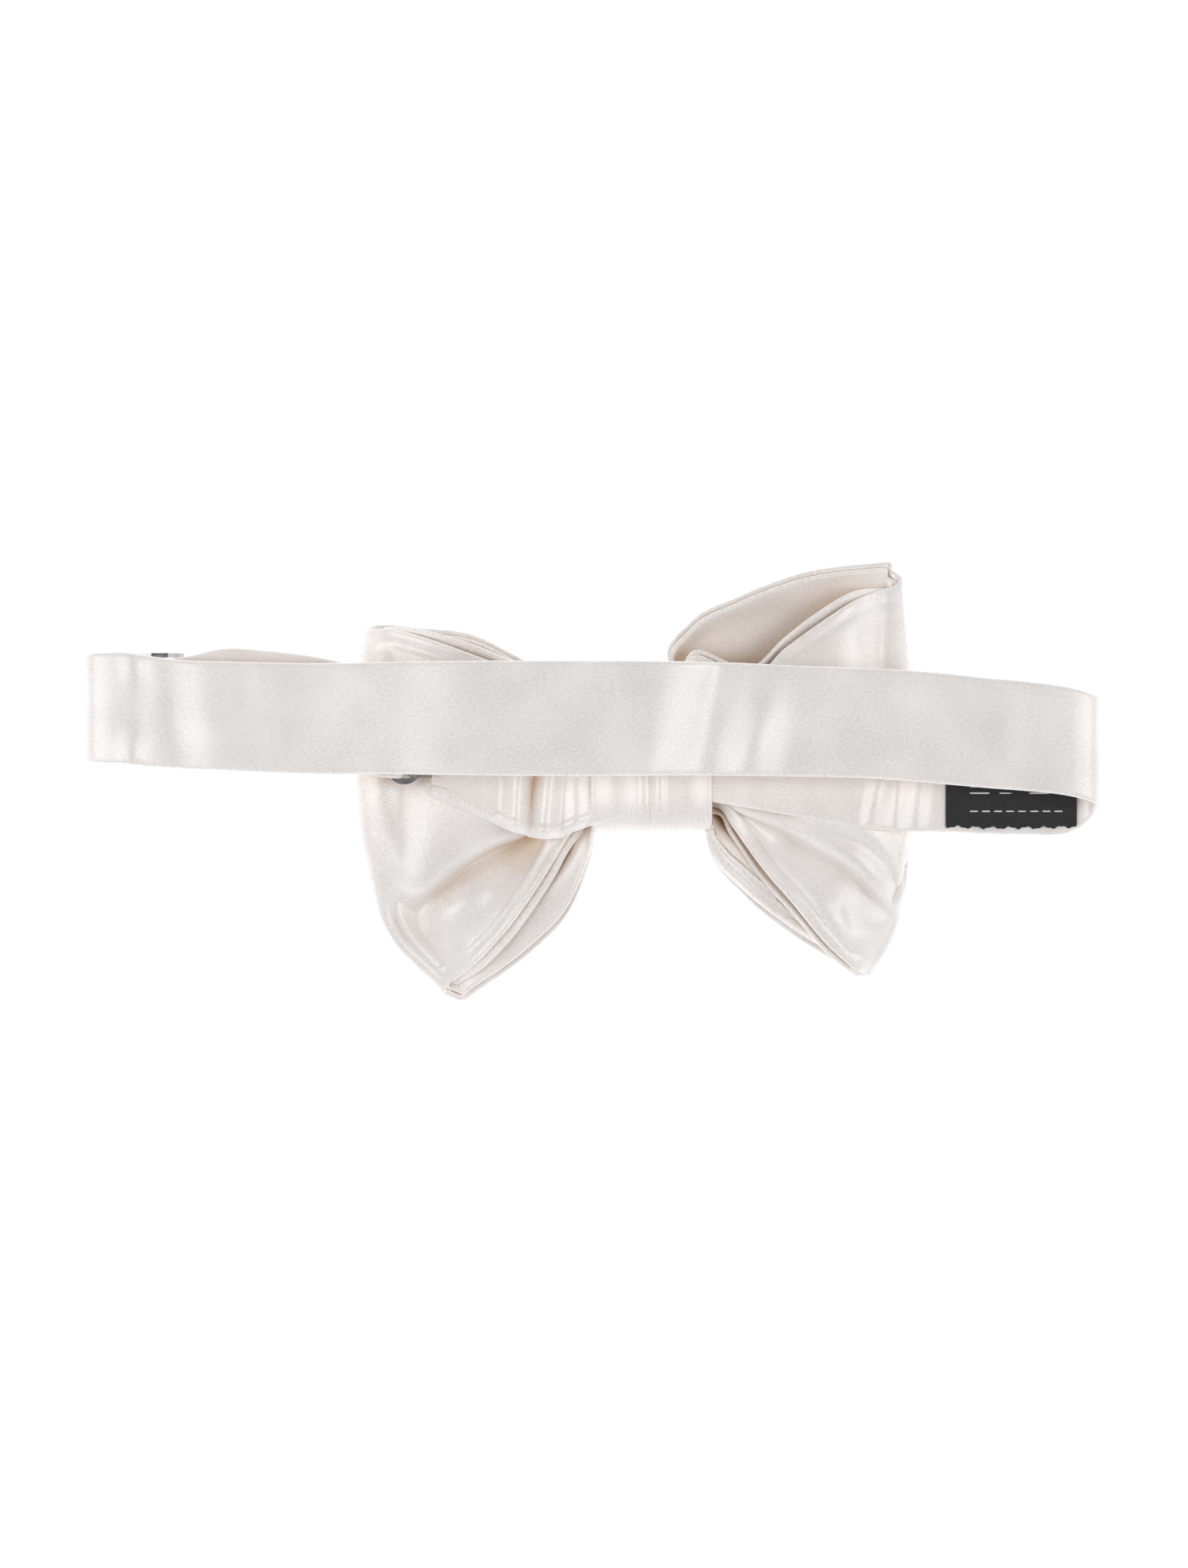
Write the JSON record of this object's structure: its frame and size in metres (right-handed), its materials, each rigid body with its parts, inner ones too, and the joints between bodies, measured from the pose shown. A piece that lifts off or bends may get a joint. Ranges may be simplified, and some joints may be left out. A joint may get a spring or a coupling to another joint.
{
  "type": "bow tie",
  "caption": "Pre-tied butterfly bow tie of ivory satin, with an adjustable neck strap closed by a metal hook and eye.",
  "frame": {"origin": "middle of the tie's footprint, on the surface that the bow's face lies on", "axes": "+X along the closed neck strap to the fold with the care label, +Y up the bow, +Z from the bow's face to its back, up from the surface"},
  "size_m": [0.218, 0.0935, 0.0303],
  "materials": {
    "silk": "ivory satin weave, soft sheen",
    "interlining": "brushed wool canvas",
    "thread": "ivory sewing thread",
    "label": "black woven label",
    "metal": "polished nickel plate"
  },
  "bodies": {
    "bow": {"bow_outer_loop": "silk", "bow_inner_loop": "silk", "bow_outer_interlining": "interlining", "bow_inner_interlining": "interlining", "knot_wrap": "silk", "knot_interlining": "interlining", "knot_seam_stitches": "thread", "neck_strap_right": "silk", "strap_interlining_right": "interlining", "eye_strap": "silk", "eye_strap_interlining": "interlining", "eye_strap_stitches": "thread", "strap_eye": "metal", "care_label": "label", "label_stitches": "thread"},
    "neckband": {"neck_strap_middle": "silk", "strap_interlining_middle": "interlining"},
    "hook_strap": {"neck_strap_left": "silk", "strap_interlining_left": "interlining", "neck_strap_return": "silk", "strap_interlining_return": "interlining"},
    "hook": {"hook": "metal"},
    "adjuster": {"adjuster_slide": "metal", "strap_end_hem": "silk"}
  },
  "joints": [
    {"name": "neckband_open", "type": "hinge", "parent": "bow", "child": "neckband", "pos_m": [0.1091, 0, 0.0246], "axis": [0, 1, 0], "range_deg": [0, 180]},
    {"name": "hook_strap_unfold", "type": "hinge", "parent": "neckband", "child": "hook_strap", "pos_m": [-0.1091, 0, 0.0246], "axis": [0, 1, 0], "range_deg": [0, 180]},
    {"name": "hook_swing", "type": "hinge", "parent": "hook_strap", "child": "hook", "pos_m": [-0.0432, 0.0123, 0.0214], "axis": [0, -1, 0], "range_deg": [0, 60]},
    {"name": "adjuster_travel", "type": "slide", "parent": "hook_strap", "child": "adjuster", "axis": [1, 0, 0], "range_m": [-0.004, 0.02], "deforming": ["neck_strap_return", "strap_interlining_return"]}
  ],
  "couplings": [
    {"joint": "hook_strap_unfold", "follows": "neckband_open", "ratio": 1}
  ]
}
